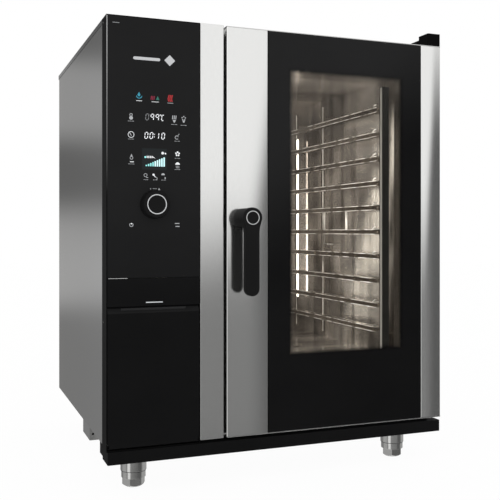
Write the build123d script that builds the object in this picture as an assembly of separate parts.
from build123d import *
import math
import os

# Countertop ten-level electric combi steamer. Millimetres, +Z up, the front looks along -Y.
# The functions below take x from the left side panel, y back from the front face and
# z up from a datum that lies SOLE_Z under the soles of the feet. `save` moves each shape
# so that the origin is on the floor, under the middle of the whole oven.

# ---- overall ----
OVEN_W = 898.0
BODY_TOP = 1112.0
SOLE_Z = 8.5
FOOT_H = 79.0
HANDLE_REACH = 72.0
LEVER_BACK = 51.5
REAR_REACH = 802.0
ORIGIN_X = OVEN_W / 2
ORIGIN_Y = (REAR_REACH - HANDLE_REACH) / 2

# ---- cabinet ----
SHEET = 1.2
PANEL_FRONT = 53.0
PANEL_REAR = 787.0
SKIRT_Z = 117.0
SIDE_TOP = 1100.0
PLINTH_TOP = 108.5
PLINTH_DEPTH = 63.0
FACE_Y = 68.0

# ---- control column ----
COLUMN_W = 224.0
COLUMN_FOOT = 109.5
GLASS_BOTTOM = 507.0
SERVICE_BOTTOM = 441.5
FLAP_BOTTOM = 116.0
FLAP_TOP = 440.5
FLAP_AXIS_Y = 3.0
FLAP_AXIS_Z = 121.0
KNOB_X = 113.0
KNOB_Z = 677.5
RING_R = 23.1
RING_BORE_R = 20.9
STRIP_END = 283.5

# ---- door ----
DOOR_X0 = 291.0
DOOR_X1 = 898.0
DOOR_BOTTOM = 117.0
DOOR_TOP = 1111.0
DOOR_T = 58.0
DOOR_GLASS_X0 = 399.0
DOOR_GLASS_X1 = 837.0
WINDOW = (440.0, 790.0, 294.0, 1029.0)
HINGE_X = 878.0
HINGE_Y = 27.0
CAP_X0 = 859.0
CAP_TOP = 1144.0
HUB_X = 331.0
HUB_Z = 647.0

# ---- cooking cavity ----
CAV_X0, CAV_X1 = 322.0, 832.0
CAV_Y0, CAV_Y1 = 70.0, 735.0
CAV_Z0, CAV_Z1 = 269.0, 1044.0
MOUTH_X0 = 365.0
MOUTH_Z0, MOUTH_Z1 = 275.0, 1038.0
LINER_T = 1.5
INSULATION = 28.0
BAFFLE_X = 423.0
FAN_Y, FAN_Z = 400.0, 655.0
RACK_LEVELS = 10
RACK_PITCH = 67.4
RACK_FIRST_Z = 350.0
RACK_Y0, RACK_Y1 = 108.0, 716.0
RACK_WEB_X = 786.0
RACK_CENTRE_X = 620.0
RAIL_H = 13.0

# ---- flue, drain and services ----
FLUE_X, FLUE_Y = 620.0, 640.0
SPIGOT_R = 25.0
PIPE_R = 24.0
PIPE_BORE_R = 22.5
PIPE_END = 801.0
HOSE_LENGTH = 12.0
STUB_R = 13.2
STUB_NECK_R = 12.4
STUB_BORE_R = 10.0
FLUE_TOP = 1136.0
DUCT_LENGTH = 20.0
DAMPER_Z = 1097.0
DRAIN_Z = 165.0
WATER_Z = 180.0
GLAND_Z = 262.0
COOLER_X, COOLER_Z = 150.0, 700.0

# ---- feet ----
SLEEVE_STEP_Z = 46.5
SLEEVE_FOOT_Z = 29.5
FEET = {
    "front_left": (78.0, 68.0),
    "front_right": (789.0, 68.0),
    "rear_left": (100.0, 700.0),
    "rear_right": (789.0, 700.0),
}

os.makedirs("parts", exist_ok=True)


def block(x0, x1, y0, y1, z0, z1):
    """Rectangular solid between two opposite corners."""
    centre = Pos((x0 + x1) / 2, (y0 + y1) / 2, (z0 + z1) / 2)
    return centre * Box(x1 - x0, y1 - y0, z1 - z0)


def rod_x(x0, x1, y, z, r):
    return Pos((x0 + x1) / 2, y, z) * Rot(0, 90, 0) * Cylinder(r, x1 - x0)


def rod_y(y0, y1, x, z, r):
    return Pos(x, (y0 + y1) / 2, z) * Rot(90, 0, 0) * Cylinder(r, y1 - y0)


def rod_z(z0, z1, x, y, r):
    return Pos(x, y, (z0 + z1) / 2) * Cylinder(r, z1 - z0)


def group(solids):
    """Several separate solids kept in one named piece."""
    flat = []
    for s in solids:
        flat.extend(s.solids())
    return Compound(flat)


def save(name, shape):
    to_floor = Location((-ORIGIN_X, -ORIGIN_Y, -SOLE_Z))
    placed = [s.moved(to_floor) for s in shape.solids()]
    export_step(placed[0] if len(placed) == 1 else Compound(placed), f"parts/{name}.step")


def channel(x0, x1, y0, y1, z0, z1, wall, open_sides):
    """Folded sheet box; each letter pair in open_sides names a face left open."""
    lo = [x0, y0, z0]
    hi = [x1, y1, z1]
    for axis, letter in enumerate("xyz"):
        lo[axis] += -1.0 if f"{letter}0" in open_sides else wall
        hi[axis] -= -1.0 if f"{letter}1" in open_sides else wall
    return block(x0, x1, y0, y1, z0, z1) - block(lo[0], hi[0], lo[1], hi[1], lo[2], hi[2])


# ================================ cabinet ================================
def build_base():
    plinth = channel(3, 895, 0, PLINTH_DEPTH, FOOT_H, PLINTH_TOP, 2, ["y1"])
    for name in ("front_left", "front_right"):
        x, y = FEET[name]
        plinth -= rod_z(FOOT_H - 1, FOOT_H + 3, x, y, 11)
    pivot_seat = rod_z(PLINTH_TOP - 3, PLINTH_TOP + 1, HINGE_X, HINGE_Y, 8.05)
    plinth += channel(4, 894, PLINTH_DEPTH - 2, 102, 84, 114, 2, ["y0", "y1"])
    for name in ("front_left", "front_right"):
        x, y = FEET[name]
        plinth -= rod_z(83, 87, x, y, 11)
    save("plinth", plinth - pivot_seat)

    mid = channel(3.5, 894.5, 242, 344, FOOT_H, SKIRT_Z, 2, ["z1"])
    mid -= rod_y(240, 246, 12, 95, 3)
    rear = channel(40, 858, 662, 738, FOOT_H, SKIRT_Z, 2, ["z1"])
    for name in ("rear_left", "rear_right"):
        x, y = FEET[name]
        rear -= rod_z(FOOT_H - 1, FOOT_H + 3, x, y, 11)
    save("chassis_cross_beams", group([mid, rear]))

    pan = block(SHEET, OVEN_W - SHEET, FACE_Y + 4, PANEL_REAR - SHEET, SKIRT_Z, SKIRT_Z + 2)
    pan += block(SHEET, COLUMN_W, PANEL_FRONT + 2, FACE_Y + 4, SKIRT_Z, SKIRT_Z + 2)
    for i in range(6):
        pan -= block(60, 200, 380 + i * 30, 388 + i * 30, SKIRT_Z - 1, SKIRT_Z + 3)
    save("base_pan", pan)


def side_panel(x_out, inward, y_front):
    """Side sheet with a return fold at its front and rear edges."""
    x_in = x_out + inward * SHEET
    x_fold = x_out + inward * 14
    lo, hi = sorted((x_out, x_in))
    panel = block(lo, hi, y_front, PANEL_REAR, SKIRT_Z, SIDE_TOP)
    lo, hi = sorted((x_out, x_fold))
    panel += block(lo, hi, y_front, y_front + SHEET, SKIRT_Z, SIDE_TOP)
    return panel


def build_shell():
    save("side_panels", group([side_panel(0, 1, PANEL_FRONT), side_panel(OVEN_W, -1, FACE_Y)]))

    roof = block(0, OVEN_W, FACE_Y + 4, REAR_REACH, BODY_TOP - SHEET, BODY_TOP)
    roof += block(0, COLUMN_W, PANEL_FRONT, FACE_Y + 4, BODY_TOP - SHEET, BODY_TOP)
    roof += block(0, OVEN_W, REAR_REACH - SHEET, REAR_REACH, BODY_TOP - 12, BODY_TOP)
    for x0, y0 in ((0, PANEL_FRONT), (OVEN_W - SHEET, FACE_Y + 4)):
        roof += block(x0, x0 + SHEET, y0, REAR_REACH, SIDE_TOP + 0.3, BODY_TOP)
    roof -= rod_z(BODY_TOP - 5, BODY_TOP + 1, FLUE_X, FLUE_Y, SPIGOT_R + 0.3)
    save("roof_panel", roof)

    rear = block(SHEET, OVEN_W - SHEET, PANEL_REAR - SHEET, PANEL_REAR, SKIRT_Z + 2, BODY_TOP - SHEET)
    cut_y0, cut_y1 = PANEL_REAR - 4, PANEL_REAR + 2
    rear -= rod_y(cut_y0, cut_y1, FLUE_X, DRAIN_Z, SPIGOT_R + 0.3)
    for x in (100, 150):
        rear -= rod_y(cut_y0, cut_y1, x, WATER_Z, 13.5)
    rear -= rod_y(cut_y0, cut_y1, 100, GLAND_Z, 12.3)
    for row in range(-6, 7):
        z = COOLER_Z + row * 9
        half = math.sqrt(58 ** 2 - (row * 9) ** 2) if abs(row * 9) < 58 else 0
        rear -= block(COOLER_X - half, COOLER_X + half, cut_y0, cut_y1, z - 2, z + 2)
    for row in range(10):
        z = 330 + row * 14
        rear -= block(70, 220, cut_y0, cut_y1, z, z + 5)
    save("rear_panel", rear)

    face = block(STRIP_END, OVEN_W - SHEET, FACE_Y, CAV_Y0, SKIRT_Z, BODY_TOP - SHEET)
    face -= block(MOUTH_X0, CAV_X1, FACE_Y - 1, CAV_Y0 + 1, MOUTH_Z0, MOUTH_Z1)
    face -= block(OVEN_W - 14, OVEN_W, FACE_Y - 1, CAV_Y0 + 1, SKIRT_Z - 1, BODY_TOP)
    face += block(293, 307, FACE_Y - 3, FACE_Y, HUB_Z - 26, HUB_Z + 26)
    face += block(296, 304, 59.5, FACE_Y - 3, HUB_Z - 16, HUB_Z + 16)
    save("cavity_front_frame", face)


def build_column():
    frame = channel(0, COLUMN_W, 1, PANEL_FRONT, COLUMN_FOOT, BODY_TOP, 2, ["y0", "y1"])
    frame += block(0, COLUMN_W, 6, PANEL_FRONT, GLASS_BOTTOM - 0.5, GLASS_BOTTOM + 2)
    frame += block(0, COLUMN_W, 6, PANEL_FRONT, SERVICE_BOTTOM - 0.5, SERVICE_BOTTOM + 2)
    frame += block(2, 14, PANEL_FRONT - 2, PANEL_FRONT, 116, BODY_TOP - 2)
    frame += block(COLUMN_W - 14, COLUMN_W - 2, PANEL_FRONT - 2, PANEL_FRONT, 116, BODY_TOP - 2)
    frame += rod_x(2, 6, FLAP_AXIS_Y, FLAP_AXIS_Z, 1.5)
    frame += rod_x(218, COLUMN_W - 2, FLAP_AXIS_Y, FLAP_AXIS_Z, 1.5)
    frame -= block(2.2, COLUMN_W + 1, 0, 4.3, SERVICE_BOTTOM, BODY_TOP - 2.2)
    for z in (403, 1101):
        frame -= rod_x(-1, 0.8, 40, z, 2.4)
    save("column_frame", frame)

    glass = block(2.4, COLUMN_W - 0.4, 0, 4, GLASS_BOTTOM, BODY_TOP - 2.4)
    glass -= rod_y(-1, 5, KNOB_X, KNOB_Z, 6)
    save("control_glass", glass)

    panel = block(2.4, COLUMN_W - 0.4, 0, 3, SERVICE_BOTTOM, GLASS_BOTTOM - 0.8)
    panel -= block(92, 133, -1, 4, 447.8, 451.3)
    save("service_panel", panel)
    save("status_light", block(92.2, 132.8, 0.3, 6, 448, 451.1))

    strip = channel(COLUMN_W, STRIP_END, 0, PANEL_FRONT, SKIRT_Z, BODY_TOP, SHEET, ["y1"])
    jamb = block(COLUMN_W + 2, STRIP_END, FACE_Y, FACE_Y + 4, SKIRT_Z, BODY_TOP - SHEET)
    jamb += block(COLUMN_W + 2, COLUMN_W + 4, PANEL_FRONT + 0.2, FACE_Y, SKIRT_Z, BODY_TOP - SHEET)
    jamb += block(STRIP_END - SHEET, STRIP_END, PANEL_FRONT, FACE_Y, SKIRT_Z, BODY_TOP - SHEET)
    save("front_trim_strip", strip + jamb)

    board = block(24, 202, 14, 15.6, 560, 1060)
    board -= rod_y(13, 17, KNOB_X, KNOB_Z, 9)
    encoder = block(KNOB_X - 14, KNOB_X + 14, 15.6, 32, KNOB_Z - 14, KNOB_Z + 14)
    encoder += rod_y(5, 15.6, KNOB_X, KNOB_Z, 5.5)
    save("control_board", board + encoder - rod_y(0, 30.2, KNOB_X, KNOB_Z, 3.05))
    temperature = block(86, 142, 5, 14, 868, 894)
    timer = block(84, 144, 5, 14, 825, 850)
    screen = block(80, 145, 5, 14, 758, 812)
    save("display_modules", group([temperature, timer, screen]))

    filter_frame = channel(20, 204, 20, 34, 150, 400, 6, ["y0", "y1"])
    for i in range(1, 4):
        z = 150 + i * 62.5
        filter_frame += block(26, 198, 22, 25, z - 1.5, z + 1.5)
    save("air_filter", filter_frame + block(26, 198, 26, 33, 156, 394))


# ================================ moving front pieces ================================
def build_flap():
    x0, x1 = 2.6, COLUMN_W - 2.6
    flap = block(x0, x1, 0, 2, FLAP_BOTTOM, 425)
    flap += block(x0, x1, 2, 4, FLAP_BOTTOM + 2, 425)
    bevel = Polygon((0, 425), (4, 425), (11, FLAP_TOP), (7, FLAP_TOP), align=None)
    flap += Pos(x0, 0, 0) * extrude(Plane.YZ * bevel, amount=x1 - x0)
    flap += block(x0, x1, 7, 13, FLAP_TOP - 2, FLAP_TOP)
    flap -= block(34, 190, -1, 14, 431.5, 437)
    grip = block(30, 194, 12, 13, 424, FLAP_TOP - 2)
    grip += block(30, 194, 4, 12, 424, 425)
    flap += grip
    lugs = block(6.2, 9, 0, 8, FLAP_BOTTOM, 126) + block(x1 - 6.4, x1 - 3.6, 0, 8, FLAP_BOTTOM, 126)
    flap += lugs
    flap -= rod_x(x0 - 1, 6.2, FLAP_AXIS_Y, FLAP_AXIS_Z, 4)
    flap -= rod_x(x1 - 3.6, x1 + 1, FLAP_AXIS_Y, FLAP_AXIS_Z, 4)
    save("lower_flap", flap)


def build_knob():
    save("encoder_shaft", rod_y(-16, 27, KNOB_X, KNOB_Z, 3))
    corners = [(3.1, -22), (26, -22), (30, -20), (33, -4), (33, -2), (3.1, -2)]
    profile = Polygon(*corners, align=None)
    knob = revolve(Plane.XY * profile, Axis.Y, 360)
    knob = Pos(KNOB_X, 0, KNOB_Z) * knob
    knob += rod_y(-22, -16.2, KNOB_X, KNOB_Z, 4)
    seat = rod_y(-23, -20.9, KNOB_X, KNOB_Z, RING_R + 0.1)
    seat -= rod_y(-24, -20, KNOB_X, KNOB_Z, RING_BORE_R - 0.1)
    save("selector_knob", knob - seat)
    ring = rod_y(-23, -21, KNOB_X, KNOB_Z, RING_R) - rod_y(-24, -20, KNOB_X, KNOB_Z, RING_BORE_R)
    save("knob_ring", ring)


def build_lever():
    half = 17.2
    tip_z = 462.0
    outline = Circle(24.3) + Pos(0, tip_z + half - HUB_Z) * Circle(half)
    outline += Pos(0, (tip_z + half - HUB_Z) / 2) * Rectangle(2 * half, HUB_Z - tip_z - half)
    back = Plane((HUB_X, -LEVER_BACK, HUB_Z), x_dir=(1, 0, 0), z_dir=(0, -1, 0))
    lever = back * extrude(outline, HANDLE_REACH - LEVER_BACK)
    front_edges = lever.edges().filter_by_position(Axis.Y, -HANDLE_REACH - 0.1, -HANDLE_REACH + 0.1)
    lever = fillet(front_edges, 3)
    lever -= rod_y(-58, -50, HUB_X, HUB_Z, 7.02)
    seat = rod_y(-HANDLE_REACH - 1, -HANDLE_REACH + 2, HUB_X, HUB_Z, 16.5)
    seat -= rod_y(-HANDLE_REACH - 2, -HANDLE_REACH + 3, HUB_X, HUB_Z, 14.5)
    save("door_lever", lever - seat)
    ring = rod_y(-HANDLE_REACH, -HANDLE_REACH + 1.9, HUB_X, HUB_Z, 16.4)
    ring -= rod_y(-HANDLE_REACH - 1, -HANDLE_REACH + 3, HUB_X, HUB_Z, 14.6)
    save("lever_ring", ring)
    spindle = rod_y(-57.9, 66, HUB_X, HUB_Z, 7) + rod_y(60, 65, HUB_X, HUB_Z, 13)
    spindle += block(HUB_X - 20, HUB_X, 60, 65, HUB_Z - 6, HUB_Z + 6)
    save("latch_spindle", spindle)


# ================================ door ================================
def build_door():
    wx0, wx1, wz0, wz1 = WINDOW
    bush_r = 12.0
    z0, z1 = DOOR_BOTTOM + 1, DOOR_TOP - 1
    pan = channel(DOOR_X0 + 1.5, DOOR_X1 - 1.5, 6, DOOR_T, z0, z1, SHEET, ["y0"])
    for z in (DOOR_BOTTOM, DOOR_TOP - 2):
        pan += block(DOOR_X0, DOOR_X1, 0, DOOR_T, z, z + 2)
    pan -= block(wx0, wx1, 0, DOOR_T + 2, wz0, wz1)
    collar = block(wx0 - SHEET, wx1 + SHEET, 12, DOOR_T, wz0 - SHEET, wz1 + SHEET)
    pan += collar - block(wx0, wx1, 0, DOOR_T + 2, wz0, wz1)
    pan -= rod_y(0, DOOR_T + 2, HUB_X, HUB_Z, 9)
    for z in (DOOR_BOTTOM, DOOR_TOP):
        pan -= rod_z(z - 4, z + 4, HINGE_X, HINGE_Y, bush_r)
    save("door_pan", pan)

    z0, z1 = DOOR_BOTTOM + 2, DOOR_TOP - 2
    left = channel(DOOR_X0, DOOR_GLASS_X0 - 0.3, 0, 6, z0, z1, 1.5, ["y1", "x1", "z0", "z1"])
    left += block(DOOR_X0, DOOR_X0 + 1.5, 0, DOOR_T, z0, z1)
    left -= rod_y(-1, 8, HUB_X, HUB_Z, 11.3)
    right = block(DOOR_GLASS_X1 + 0.3, DOOR_X1, 0, 1.5, z0, z1)
    right += block(DOOR_X1 - 1.5, DOOR_X1, 0, DOOR_T, z0, z1)
    save("door_side_trims", group([left, right]))

    save("door_outer_glass", block(DOOR_GLASS_X0, DOOR_GLASS_X1, 0, 5, z0 + 0.2, z1 - 0.2))
    save("door_inner_glass", block(wx0 + 0.5, wx1 - 0.5, 50, 56, wz0 + 0.5, wz1 - 0.5))
    bar = channel(724, 744, 7, 21, 301, 994, 1.5, ["x0"])
    save("door_light_housing", bar)
    save("door_light_lens", block(724.3, 727, 9, 19, 303, 992))
    boss = rod_y(0.3 - LEVER_BACK, 0, HUB_X, HUB_Z, 23.4) + rod_y(0, 30, HUB_X, HUB_Z, 11)
    boss += rod_y(6.5, 12, HUB_X, HUB_Z, 22)
    save("lever_boss", boss - rod_y(-53, 31, HUB_X, HUB_Z, 7.06))
    tray = channel(360, 840, DOOR_T, 66.5, 124, 142, 1.2, ["z1"])
    save("door_drip_tray", tray)

    bushes = []
    for z0, z1, r in ((DOOR_BOTTOM, DOOR_BOTTOM + 24, 8.06), (DOOR_TOP - 24, DOOR_TOP, 6.06)):
        bush = rod_z(z0, z1, HINGE_X, HINGE_Y, bush_r - 0.05)
        bushes.append(bush - rod_z(z0 - 1, z1 + 1, HINGE_X, HINGE_Y, r))
    save("door_hinge_bushes", group(bushes))


def build_hinges():
    arm = block(862, 894, 12, 160, BODY_TOP + 0.4, BODY_TOP + 6.4)
    arm = fillet(arm.edges().filter_by(Axis.Z).filter_by_position(Axis.Y, 11, 13), 10)
    arm += rod_z(BODY_TOP, BODY_TOP + 0.4, HINGE_X, 120, 10)
    arm += rod_z(DOOR_TOP - 22, BODY_TOP + 8, HINGE_X, HINGE_Y, 6)
    save("hinge_arm_top", arm)
    cap_base = BODY_TOP + 0.4
    cap = block(CAP_X0, OVEN_W, 0, 44, cap_base, CAP_TOP)
    corners = [(44, cap_base), (190, cap_base), (190, BODY_TOP + 14), (92, 1134), (44, 1134)]
    wedge = Polygon(*corners, align=None)
    cap += Pos(CAP_X0, 0, 0) * extrude(Plane.YZ * wedge, amount=OVEN_W - CAP_X0)
    cap = fillet(cap.edges().filter_by(Axis.Z).filter_by_position(Axis.Y, -1, 1), 3)
    cap -= block(CAP_X0 + 2, OVEN_W - 2, 2, 186, BODY_TOP - 1, BODY_TOP + 12)
    save("hinge_cap", cap)
    pivot = rod_z(PLINTH_TOP, DOOR_BOTTOM - 0.4, HINGE_X, HINGE_Y, 13)
    pivot += rod_z(PLINTH_TOP - 2, DOOR_BOTTOM + 20, HINGE_X, HINGE_Y, 8)
    save("hinge_pivot_bottom", pivot)

    gx0, gx1, gz0, gz1 = MOUTH_X0 - 15, CAV_X1 + 15, MOUTH_Z0 - 15, MOUTH_Z1 + 15
    gasket = block(gx0, gx1, DOOR_T + 0.3, FACE_Y, gz0, gz1)
    gasket -= block(gx0 + 12, gx1 - 12, DOOR_T - 1, FACE_Y + 1, gz0 + 12, gz1 - 12)
    save("door_gasket", gasket)


# ================================ cooking cavity ================================
def drain_bend(r, rear_end, top_end):
    """Round solid from under the cavity floor down, round a corner and back to the rear."""
    bend = rod_z(DRAIN_Z, top_end, RACK_CENTRE_X, FAN_Y, r)
    bend += rod_y(FAN_Y, rear_end, FLUE_X, DRAIN_Z, r)
    return bend + Pos(FLUE_X, FAN_Y, DRAIN_Z) * Sphere(r)


def build_cavity():
    t = LINER_T
    liner = channel(CAV_X0 - t, CAV_X1 + t, CAV_Y0, CAV_Y1 + t, CAV_Z0 - t, CAV_Z1 + t, t, ["y0"])
    liner -= rod_x(CAV_X0 - 4, CAV_X0 + 1, FAN_Y, FAN_Z, 14)
    liner -= rod_z(CAV_Z0 - 4, CAV_Z0 + 1, RACK_CENTRE_X, FAN_Y, 25)
    liner -= rod_z(CAV_Z1 - 1, CAV_Z1 + 4, FLUE_X, FLUE_Y, PIPE_BORE_R)
    for z in (FAN_Z - 40, FAN_Z + 40):
        liner -= rod_x(CAV_X0 - 4, CAV_X0 + 1, FAN_Y + 160, z, 5)
    liner -= rod_x(CAV_X0 - 4, CAV_X0 + 1, FAN_Y - 60, FAN_Z + 60, 6.2)
    save("cavity_liner", liner)

    s = INSULATION
    jx0, jx1 = CAV_X0 - t - s, CAV_X1 + t + s
    jz0, jz1 = CAV_Z0 - t - s, CAV_Z1 + t + s
    jacket = block(jx0, jx1, CAV_Y0, CAV_Y1 + t + s, jz0, jz1)
    jacket -= block(CAV_X0 - t, CAV_X1 + t, CAV_Y0 - 1, CAV_Y1 + t, CAV_Z0 - t, CAV_Z1 + t)
    jacket -= rod_x(jx0 - 1, CAV_X0, FAN_Y, FAN_Z, 40)
    jacket -= rod_z(jz0 - 1, CAV_Z0, RACK_CENTRE_X, FAN_Y, 28)
    jacket -= rod_z(CAV_Z1, jz1 + 1, FLUE_X, FLUE_Y, PIPE_R + 1)
    jacket -= block(jx0 - 1, CAV_X0, FAN_Y + 140, FAN_Y + 180, FAN_Z - 60, FAN_Z + 60)
    jacket -= rod_x(jx0 - 1, CAV_X0, FAN_Y - 60, FAN_Z + 60, 8)
    save("insulation_jacket", jacket)

    baffle = block(BAFFLE_X, BAFFLE_X + 2, 86, 719, 290, 1022)
    for y in (86, 717):
        baffle += block(BAFFLE_X - 14, BAFFLE_X, y, y + 2, 290, 1022)
    cuts = []
    for ring, count in ((22, 6), (46, 12), (70, 18), (94, 24)):
        for k in range(count):
            a = 2 * math.pi * k / count
            y, z = FAN_Y + ring * math.cos(a), FAN_Z + ring * math.sin(a)
            cuts.append(rod_x(BAFFLE_X - 1, BAFFLE_X + 3, y, z, 7.5))
    baffle -= cuts
    for y in (110, 695):
        for z in (320, 990):
            baffle += rod_x(CAV_X0, BAFFLE_X, y, z, 5)
    save("air_baffle", baffle)

    coil = [Pos(x, FAN_Y, FAN_Z) * Rot(0, 90, 0) * Torus(152, 4.2) for x in (350, 372, 394)]
    for z in (FAN_Z - 40, FAN_Z + 40):
        coil.append(rod_x(CAV_X0 - 40, 345, FAN_Y + 160, z, 4.2))
    save("heating_element", group(coil))
    jet = rod_x(CAV_X0 - 29, 340, FAN_Y - 60, FAN_Z + 60, 6)
    save("water_injector", jet - rod_x(CAV_X0 - 35, 341, FAN_Y - 60, FAN_Z + 60, 4))

    strainer = rod_z(CAV_Z0, CAV_Z0 + 3, RACK_CENTRE_X, FAN_Y, 40)
    for ring, count in ((8, 6), (17, 12), (27, 18)):
        for k in range(count):
            a = 2 * math.pi * k / count
            x, y = RACK_CENTRE_X + ring * math.cos(a), FAN_Y + ring * math.sin(a)
            strainer -= rod_z(CAV_Z0 - 1, CAV_Z0 + 5, x, y, 2.5)
    save("drain_strainer", strainer)
    pipe = drain_bend(PIPE_R, PIPE_END, CAV_Z0 - t)
    pipe += rod_y(PIPE_END - HOSE_LENGTH, PIPE_END, FLUE_X, DRAIN_Z, SPIGOT_R)
    save("drain_pipe", pipe - drain_bend(PIPE_BORE_R, PIPE_END + 9, CAV_Z0 + 5))

    flue = rod_z(CAV_Z1 + t, FLUE_TOP, FLUE_X, FLUE_Y, PIPE_R)
    flue += rod_z(FLUE_TOP - DUCT_LENGTH, FLUE_TOP, FLUE_X, FLUE_Y, SPIGOT_R)
    flue -= rod_z(CAV_Z1 - 1, FLUE_TOP + 1, FLUE_X, FLUE_Y, PIPE_BORE_R)
    flue -= rod_x(FLUE_X - 30, FLUE_X + 30, FLUE_Y, DAMPER_Z, 2.56)
    save("exhaust_flue", flue)
    motor = block(650, 696, FLUE_Y - 18, FLUE_Y + 18, 1080, 1108)
    save("damper_motor", motor - rod_x(640, 680, FLUE_Y, DAMPER_Z, 2.56))
    disc = rod_z(DAMPER_Z - 1, DAMPER_Z + 1, FLUE_X, FLUE_Y, 22)
    disc += rod_x(FLUE_X - 27, 676, FLUE_Y, DAMPER_Z, 2.5)
    save("exhaust_damper", disc)


def build_fan():
    plate = rod_x(340, 342, FAN_Y, FAN_Z, 118)
    wheel = plate + rod_x(342, 360, FAN_Y, FAN_Z, 20)
    for k in range(24):
        blade = block(341, 400, FAN_Y + 94, FAN_Y + 117, FAN_Z - 0.8, FAN_Z + 0.8)
        wheel += blade.rotate(Axis((0, FAN_Y, FAN_Z), (1, 0, 0)), 360 * k / 24)
    ring = rod_x(398, 400, FAN_Y, FAN_Z, 118) - rod_x(397, 401, FAN_Y, FAN_Z, 92)
    wheel += ring
    save("fan_wheel", wheel + rod_x(200, 364, FAN_Y, FAN_Z, 9))
    motor = rod_x(120, 288, FAN_Y, FAN_Z, 75)
    motor += block(288, 292, FAN_Y - 90, FAN_Y + 90, FAN_Z - 90, FAN_Z + 90)
    for x in range(136, 272, 14):
        motor -= rod_x(x, x + 6, FAN_Y, FAN_Z, 80) - rod_x(x - 1, x + 7, FAN_Y, FAN_Z, 70)
    save("fan_motor", motor - rod_x(198, 300, FAN_Y, FAN_Z, 9.06))


def rack(mirror):
    """Ten angle-section rails with slots, carried by three square posts."""
    solids = []
    for level in range(RACK_LEVELS):
        z = RACK_FIRST_Z + level * RACK_PITCH
        rail = block(RACK_WEB_X - 21, RACK_WEB_X, RACK_Y0, RACK_Y1, z - 1.2, z)
        rail += block(RACK_WEB_X - 1.2, RACK_WEB_X, RACK_Y0, RACK_Y1, z - RAIL_H, z)
        rail += block(RACK_WEB_X - 21, RACK_WEB_X - 19.8, RACK_Y0, RACK_Y1, z - RAIL_H, z)
        slots = []
        for k in range(7):
            y = RACK_Y0 + 28 + k * 90
            slots.append(block(RACK_WEB_X - 17, RACK_WEB_X - 5, y + 20, y + 62, z - 3, z + 1))
            slots.append(block(RACK_WEB_X - 22, RACK_WEB_X + 1, y, y + 12, z - 9, z - 4))
        solids.append(rail - slots)
    for y in (118, 490, 696):
        post = block(RACK_WEB_X, RACK_WEB_X + 9, y, y + 12, 292, 1016)
        reach = CAV_X1 if not mirror else 2 * RACK_CENTRE_X - BAFFLE_X - 2
        for z in (330, 980):
            post += rod_x(RACK_WEB_X + 9, reach, y + 6, z, 4)
        solids.append(post)
    if mirror:
        middle = Plane((RACK_CENTRE_X, 0, 0), z_dir=(1, 0, 0))
        solids = [s.mirror(middle) for piece in solids for s in piece.solids()]
    return group(solids)


def build_racks():
    save("rack_right", rack(False))
    save("rack_left", rack(True))


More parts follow.
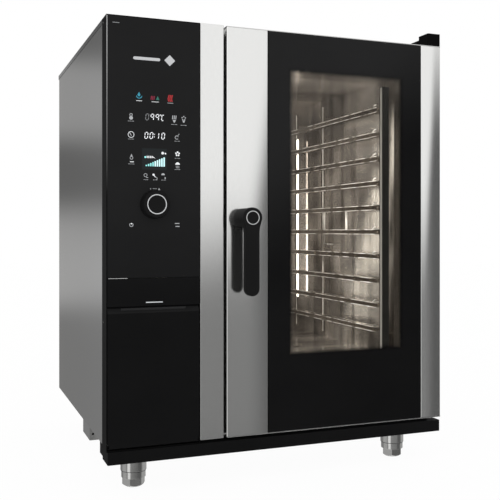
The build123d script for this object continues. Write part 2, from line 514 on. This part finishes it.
# ================================ services ================================
def build_services():
    wall = block(20, 23, 250, 700, 330, 1000)
    save("electrical_plate", wall)
    power = block(23, 28, 300, 520, 700, 960)
    for y in (330, 400, 470):
        power += block(28, 52, y, y + 26, 730, 780) + rod_x(28, 58, y + 13, 860, 11)
    switches = [block(23, 98, y, y + 45, 560, 645) for y in (280, 330, 380)]
    blocks = block(23, 60, 560, 680, 380, 420)
    for k in range(5):
        blocks -= rod_x(50, 62, 572 + k * 24, 400, 6)
    save("power_electronics", group([power] + switches + [blocks]))
    housing = block(COOLER_X - 60, COOLER_X + 60, 750, 785, COOLER_Z - 60, COOLER_Z + 60)
    housing -= rod_y(749, 786, COOLER_X, COOLER_Z, 56)
    for a in (0, 90):
        spoke = block(COOLER_X - 57, COOLER_X + 57, 781, 784, COOLER_Z - 3, COOLER_Z + 3)
        housing += spoke.rotate(Axis((COOLER_X, 0, COOLER_Z), (0, 1, 0)), a)
    housing += rod_y(778, 784, COOLER_X, COOLER_Z, 20) - rod_y(777, 781, COOLER_X, COOLER_Z, 4.06)
    save("cooling_fan_housing", housing)
    wheel = rod_y(754, 777, COOLER_X, COOLER_Z, 19) + rod_y(777, 780.6, COOLER_X, COOLER_Z, 4)
    for k in range(7):
        blade = Pos(COOLER_X + 35, 765.5, COOLER_Z) * Rot(35, 0, 0) * Box(36, 2, 24)
        wheel += blade.rotate(Axis((COOLER_X, 0, COOLER_Z), (0, 1, 0)), 360 * k / 7)
    save("cooling_fan_wheel", wheel)

    valves = []
    for x in (100, 150):
        stub = rod_y(740, PIPE_END, x, WATER_Z, STUB_NECK_R)
        stub += rod_y(PIPE_END - HOSE_LENGTH, PIPE_END, x, WATER_Z, STUB_R)
        stub -= rod_y(739, PIPE_END + 1, x, WATER_Z, STUB_BORE_R)
        body = block(x - 18, x + 18, 700, 740, WATER_Z - 18, WATER_Z + 30)
        body -= rod_y(715, 741, x, WATER_Z, STUB_BORE_R)
        valves.append(stub + body)
    save("water_inlets", group(valves))
    gland = rod_y(PANEL_REAR, PANEL_REAR + 14, 100, GLAND_Z, 18)
    gland += rod_y(770, PANEL_REAR, 100, GLAND_Z, 12)
    save("cable_gland", gland - rod_y(769, 803, 100, GLAND_Z, 8))


# ================================ feet ================================
def build_feet():
    sleeves = []
    for name, (x, y) in FEET.items():
        sleeve = rod_z(SLEEVE_STEP_Z, FOOT_H, x, y, 31)
        sleeve += rod_z(SLEEVE_FOOT_Z, SLEEVE_STEP_Z, x, y, 29)
        sleeve -= rod_z(SLEEVE_FOOT_Z - 1, 62, x, y, 28)
        sleeve -= rod_z(61, FOOT_H + 1, x, y, 8.06)
        sleeves.append(sleeve)
        height = SLEEVE_FOOT_Z + 1 - SOLE_Z
        hexagon = Pos(x, y, SOLE_Z) * extrude(RegularPolygon(27.4, 6), amount=height)
        cone = Pos(x, y, SOLE_Z + height / 2) * Cone(20 + height * 1.4, 20, height, rotation=(180, 0, 0))
        foot = hexagon & cone
        foot += rod_z(SLEEVE_FOOT_Z + 1, 44, x, y, 27.2)
        foot += rod_z(44, 74, x, y, 8)
        save(f"foot_{name}", foot)
    save("foot_sleeves", group(sleeves))


build_base()
build_shell()
build_column()
build_flap()
build_knob()
build_lever()
build_door()
build_hinges()
build_cavity()
build_fan()
build_racks()
build_services()
build_feet()
